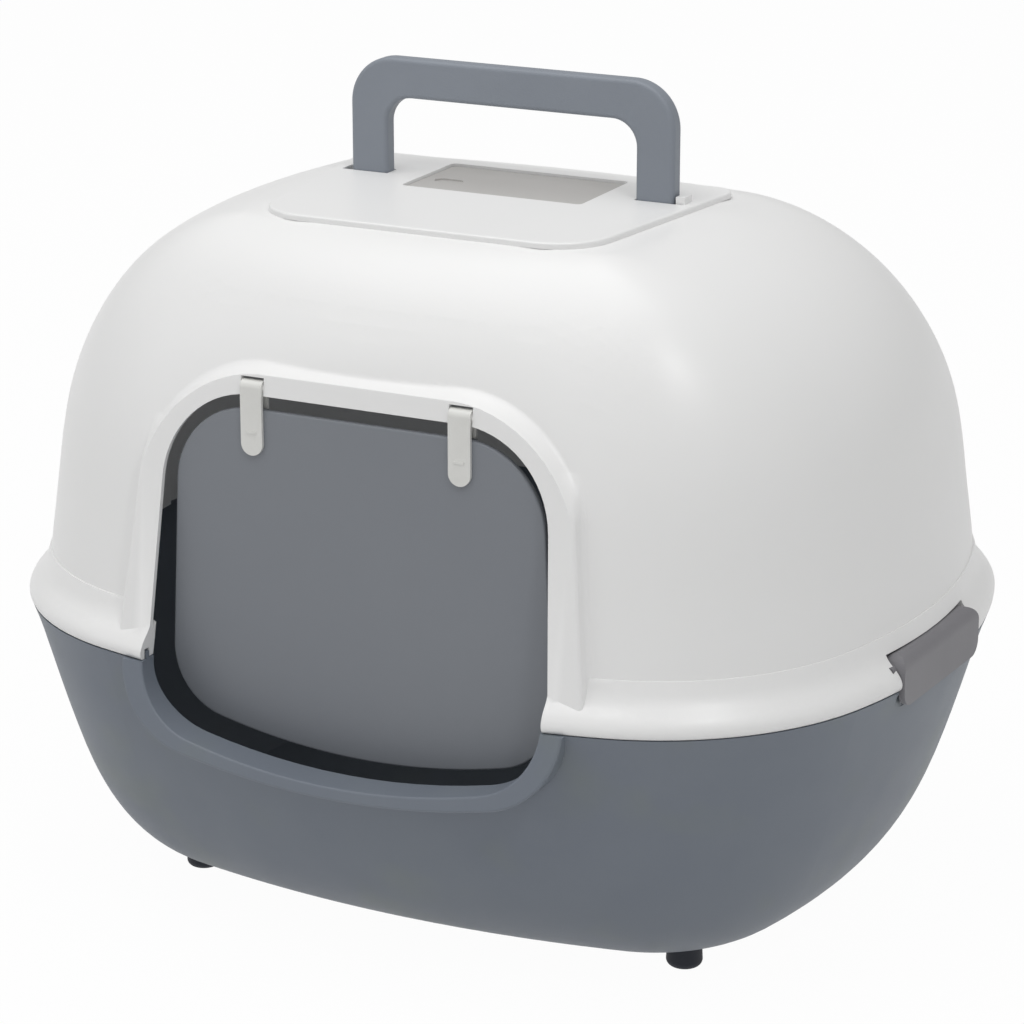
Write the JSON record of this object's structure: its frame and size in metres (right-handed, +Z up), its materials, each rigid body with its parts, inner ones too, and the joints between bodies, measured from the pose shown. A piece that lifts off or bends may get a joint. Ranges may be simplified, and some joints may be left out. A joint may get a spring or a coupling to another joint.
{
  "type": "hooded cat litter box",
  "caption": "Hooded litter box with a deep pan, a lift-off domed hood, a swinging door flap hung from hooked clips, side latches, a carry handle and a filter vent.",
  "frame": {"origin": "on the floor, midway between the feet, below the middle of the rim", "axes": "+X to the right as seen from the door side, -Y towards the door, +Z up"},
  "size_m": [0.5092, 0.4153, 0.439],
  "materials": {
    "pan_grey": "fine satin moulding, blue grey",
    "hood_white": "semi-gloss white moulding",
    "trim_grey": "satin grey",
    "flap_grey": "smooth satin sheet, grey",
    "clip_white": "natural white moulding",
    "foot_rubber": "soft dark blue-black rubber",
    "cover_grey": "frosted light grey",
    "filter_black": "black carbon felt"
  },
  "bodies": {
    "base": {"base_pan": "pan_grey", "foot_front_left": "foot_rubber", "foot_front_right": "foot_rubber", "foot_back_left": "foot_rubber", "foot_back_right": "foot_rubber"},
    "hood": {"hood": "hood_white", "top_plate": "hood_white", "carry_handle": "trim_grey", "filter_tray": "hood_white", "carbon_filter": "filter_black", "scoop_peg": "trim_grey"},
    "cover": {"filter_cover": "cover_grey"},
    "flap": {"door_flap": "flap_grey", "door_clip_left": "clip_white", "door_clip_right": "clip_white"},
    "latch_left": {"latch_left": "trim_grey"},
    "latch_right": {"latch_right": "trim_grey"}
  },
  "joints": [
    {"name": "hood_lift", "type": "slide", "parent": "base", "child": "hood", "axis": [0, 0, 1], "range_m": [0, 0.06]},
    {"name": "cover_lift", "type": "slide", "parent": "hood", "child": "cover", "axis": [0, 0, 1], "range_m": [0, 0.038]},
    {"name": "flap_swing", "type": "hinge", "parent": "hood", "child": "flap", "pos_m": [0, -0.1708, 0.3035], "axis": [1, 0, 0], "range_deg": [-75, 75]},
    {"name": "latch_left_swing", "type": "hinge", "parent": "hood", "child": "latch_left", "pos_m": [-0.24466, -0.01822, 0.1686], "axis": [-0.0593, 0.9982, 0], "range_deg": [0, 105]},
    {"name": "latch_right_swing", "type": "hinge", "parent": "hood", "child": "latch_right", "pos_m": [0.24466, -0.01822, 0.1686], "axis": [-0.0593, -0.9982, 0], "range_deg": [0, 105]}
  ],
  "couplings": [
    {"joint": "latch_left_swing", "follows": "hood_lift", "rad_per_m": 30.5},
    {"joint": "latch_right_swing", "follows": "hood_lift", "rad_per_m": 30.5}
  ]
}
